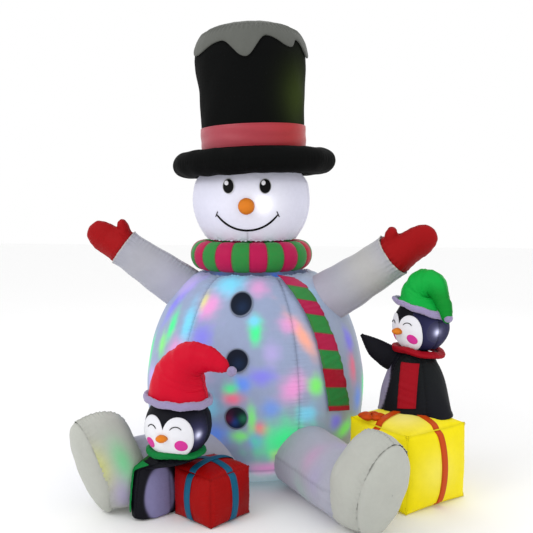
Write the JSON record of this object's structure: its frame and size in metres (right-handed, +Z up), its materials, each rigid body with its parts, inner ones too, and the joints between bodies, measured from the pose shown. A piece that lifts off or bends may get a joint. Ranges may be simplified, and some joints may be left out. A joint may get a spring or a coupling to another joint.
{
  "type": "inflatable yard snowman",
  "caption": "Seated blow-up cloth snowman with top hat, striped scarf, raised arms, two small penguins and two gift boxes, with a fan and light inside.",
  "frame": {"origin": "on the ground, where the round body's upright axis meets it, at the centre of the flat base panel", "axes": "+Z up; the snowman looks towards -Y; its left hand is on +X and its right hand on -X"},
  "size_m": [1.5181, 1.297, 1.7916],
  "materials": {
    "body_cloth": "thin coated polyester, faintly glossy, lit from inside",
    "head_cloth": "thin white polyester, lit from inside",
    "foot_cloth": "thin white polyester, unlit and warm grey",
    "black_cloth": "matt black polyester",
    "snow_cloth": "white polyester over black, reads grey",
    "band_cloth": "red satin polyester",
    "scarf_cloth": "polyester in magenta and green stripes",
    "mitten_cloth": "deep red polyester",
    "print_black": "black printed polyester",
    "button_cloth": "dark navy printed polyester",
    "nose_cloth": "orange stuffed polyester",
    "penguin_cloth": "near-black polyester, lilac belly",
    "face_cloth": "white polyester, lit from inside",
    "red_hat_cloth": "bright red polyester",
    "green_hat_cloth": "bright green polyester",
    "trim_fleece": "lilac fleece",
    "green_scarf_cloth": "green polyester",
    "red_scarf_cloth": "red polyester",
    "red_gift_cloth": "red polyester",
    "yellow_gift_cloth": "yellow polyester, lit from inside",
    "blue_ribbon_cloth": "teal polyester strip",
    "orange_ribbon_cloth": "orange polyester strip",
    "black_plastic": "moulded, satin",
    "motor_steel": "drawn can",
    "clear_plastic": "clear moulded lens",
    "zip_metal": "nickel plated"
  },
  "bodies": {
    "snowman": {"body_shell": "body_cloth", "base_panel": "body_cloth", "right_arm": "body_cloth", "left_arm": "body_cloth", "right_leg": "body_cloth", "left_leg": "body_cloth", "head_shell": "head_cloth", "right_foot": "foot_cloth", "left_foot": "foot_cloth", "right_sole": "foot_cloth", "left_sole": "foot_cloth", "hat_brim": "black_cloth", "hat_crown": "black_cloth", "zip_tape": "black_cloth", "hat_snow_cap": "snow_cloth", "hat_band": "band_cloth", "neck_scarf_ring": "scarf_cloth", "right_mitten": "mitten_cloth", "left_mitten": "mitten_cloth", "right_eye": "print_black", "left_eye": "print_black", "mouth": "print_black", "button_upper": "button_cloth", "button_middle": "button_cloth", "button_lower": "button_cloth", "nose": "nose_cloth", "red_hat_penguin_beak": "nose_cloth", "green_hat_penguin_beak": "nose_cloth", "red_hat_penguin_body": "penguin_cloth", "red_hat_penguin_head": "penguin_cloth", "red_hat_penguin_face": "face_cloth", "red_hat_penguin_hat": "red_hat_cloth", "red_hat_penguin_hat_trim": "trim_fleece", "red_hat_penguin_bobble": "trim_fleece", "red_hat_penguin_scarf": "green_scarf_cloth", "red_hat_penguin_lamp": "clear_plastic", "green_hat_penguin_body": "penguin_cloth", "green_hat_penguin_head": "penguin_cloth", "green_hat_penguin_face": "face_cloth", "green_hat_penguin_hat": "green_hat_cloth", "green_hat_penguin_hat_trim": "trim_fleece", "green_hat_penguin_bobble": "trim_fleece", "green_hat_penguin_scarf": "red_scarf_cloth", "green_hat_penguin_lamp": "clear_plastic", "green_hat_penguin_wing": "penguin_cloth", "red_gift_box": "red_gift_cloth", "red_gift_ribbon": "blue_ribbon_cloth", "yellow_gift_box": "yellow_gift_cloth", "yellow_gift_ribbon": "orange_ribbon_cloth", "fan_housing": "black_plastic", "fan_grille": "black_plastic", "projector_base": "black_plastic", "fan_motor": "motor_steel", "head_lamp": "clear_plastic"},
    "impeller": {"fan_impeller": "black_plastic"},
    "projector_dome": {"projector_dome": "clear_plastic"},
    "scarf_tail": {"scarf_tail": "scarf_cloth"},
    "zip_slider": {"zip_slider": "zip_metal"},
    "red_hat_penguin_scarf_tail": {"red_hat_penguin_scarf_tail": "green_scarf_cloth"},
    "green_hat_penguin_scarf_tail": {"green_hat_penguin_scarf_tail": "red_scarf_cloth"}
  },
  "joints": [
    {"name": "fan_spin", "type": "hinge", "parent": "snowman", "child": "impeller", "pos_m": [0, 0.39, 0.176], "axis": [0, 1, 0], "continuous": true},
    {"name": "projector_spin", "type": "hinge", "parent": "snowman", "child": "projector_dome", "pos_m": [0, -0.06, 0.08], "axis": [0, 0, 1], "continuous": true},
    {"name": "scarf_tail_lift", "type": "hinge", "parent": "snowman", "child": "scarf_tail", "pos_m": [0.1712, -0.1653, 0.8], "axis": [-0.6947, -0.7193, 0], "range_deg": [0, 35]},
    {"name": "red_hat_penguin_scarf_lift", "type": "hinge", "parent": "snowman", "child": "red_hat_penguin_scarf_tail", "pos_m": [-0.2576, -0.7162, 0.21], "axis": [-0.6691, 0.7431, 0], "range_deg": [0, 12]},
    {"name": "green_hat_penguin_scarf_lift", "type": "hinge", "parent": "snowman", "child": "green_hat_penguin_scarf_tail", "pos_m": [0.6245, -0.3262, 0.493], "axis": [-0.9659, 0.2588, 0], "range_deg": [0, 35]},
    {"name": "zip_slide", "type": "hinge", "parent": "snowman", "child": "zip_slider", "pos_m": [0, 0, 0.302], "axis": [0, 0, 1], "range_deg": [0, 28]}
  ]
}
